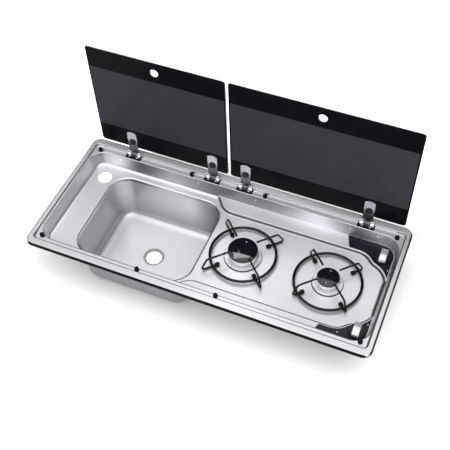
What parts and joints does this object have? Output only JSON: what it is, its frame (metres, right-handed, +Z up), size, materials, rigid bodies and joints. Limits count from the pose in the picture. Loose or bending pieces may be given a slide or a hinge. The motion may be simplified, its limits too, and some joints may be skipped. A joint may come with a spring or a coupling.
{
  "type": "hob and sink combo",
  "caption": "Built-in kitchen unit of pressed steel: rectangular sink bowl beside a gas hob with wire pan supports, push-and-turn knobs and hinged glass lids.",
  "frame": {"origin": "middle of the worktop cut-out, on the worktop surface", "axes": "+X to the right towards the hob, -Y to the front, +Z up; lids stand open at the back"},
  "size_m": [0.902, 0.392, 0.531],
  "materials": {
    "pressed_steel": "bright linen-finished stainless steel",
    "bowl_steel": "satin drawn stainless steel",
    "black_rubber": "matt black rubber",
    "hinge_steel": "bright stainless steel",
    "lid_glass": "toughened glass, printed black on the back",
    "black_plastic": "matt black plastic",
    "black_panel": "satin black coating",
    "silver_plastic": "silver-coated plastic",
    "tap_brass": "machined brass",
    "spindle_steel": "turned steel",
    "pipe_aluminium": "drawn aluminium tube",
    "burner_aluminium": "cast aluminium",
    "black_enamel": "gloss black enamel",
    "ceramic": "glazed white ceramic",
    "support_wire": "black enamelled steel wire"
  },
  "bodies": {
    "frame": {"top_pressing": "pressed_steel", "sink_bowl": "bowl_steel", "rim_seal": "black_rubber", "lid_buffers": "black_rubber", "hinge_pads": "black_rubber", "hinge_screws": "hinge_steel", "sink_left_hinge_bracket": "hinge_steel", "sink_right_hinge_bracket": "hinge_steel", "hob_left_hinge_bracket": "hinge_steel", "hob_right_hinge_bracket": "hinge_steel", "sink_left_hinge_pin": "hinge_steel", "sink_right_hinge_pin": "hinge_steel", "hob_left_hinge_pin": "hinge_steel", "hob_right_hinge_pin": "hinge_steel", "back_control_panel": "black_panel", "front_control_panel": "black_panel", "back_gas_tap": "tap_brass", "front_gas_tap": "tap_brass", "gas_rail": "pipe_aluminium", "left_feed_pipe": "pipe_aluminium", "left_burner_cup": "burner_aluminium", "left_flame_ring": "burner_aluminium", "left_burner_cap": "black_enamel", "left_electrode": "ceramic", "left_thermocouple": "spindle_steel", "left_pan_support": "support_wire", "left_pan_support_feet": "black_rubber", "right_feed_pipe": "pipe_aluminium", "right_burner_cup": "burner_aluminium", "right_flame_ring": "burner_aluminium", "right_burner_cap": "black_enamel", "right_electrode": "ceramic", "right_thermocouple": "spindle_steel", "right_pan_support": "support_wire", "right_pan_support_feet": "black_rubber"},
    "sink_lid": {"sink_lid_glass": "lid_glass", "sink_left_hinge_leaf": "hinge_steel", "sink_right_hinge_leaf": "hinge_steel", "sink_lid_gaskets": "black_rubber", "sink_lid_screws": "black_plastic"},
    "hob_lid": {"hob_lid_glass": "lid_glass", "hob_left_hinge_leaf": "hinge_steel", "hob_right_hinge_leaf": "hinge_steel", "hob_lid_gaskets": "black_rubber", "hob_lid_screws": "black_plastic"},
    "back_push": {"back_tap_stem": "tap_brass"},
    "back_knob": {"back_tap_spindle": "spindle_steel", "back_knob_skirt": "black_plastic", "back_knob_grip": "silver_plastic"},
    "front_push": {"front_tap_stem": "tap_brass"},
    "front_knob": {"front_tap_spindle": "spindle_steel", "front_knob_skirt": "black_plastic", "front_knob_grip": "silver_plastic"}
  },
  "joints": [
    {"name": "sink_lid_hinge", "type": "hinge", "parent": "frame", "child": "sink_lid", "pos_m": [-0.2045, 0.1765, 0.0116], "axis": [1, 0, 0], "range_deg": [0, 90]},
    {"name": "hob_lid_hinge", "type": "hinge", "parent": "frame", "child": "hob_lid", "pos_m": [0.1695, 0.1765, 0.0116], "axis": [1, 0, 0], "range_deg": [0, 90]},
    {"name": "back_knob_push", "type": "slide", "parent": "frame", "child": "back_push", "axis": [0, 0, -1], "range_m": [0, 0.003], "stiffness_N_per_m": 1500, "springref_m": -0.002},
    {"name": "back_knob_turn", "type": "hinge", "parent": "back_push", "child": "back_knob", "pos_m": [0.399, 0.107, -0.018], "axis": [0, 0, 1], "range_deg": [0, 210]},
    {"name": "front_knob_push", "type": "slide", "parent": "frame", "child": "front_push", "axis": [0, 0, -1], "range_m": [0, 0.003], "stiffness_N_per_m": 1500, "springref_m": -0.002},
    {"name": "front_knob_turn", "type": "hinge", "parent": "front_push", "child": "front_knob", "pos_m": [0.399, -0.12, -0.018], "axis": [0, 0, 1], "range_deg": [0, 210]}
  ]
}
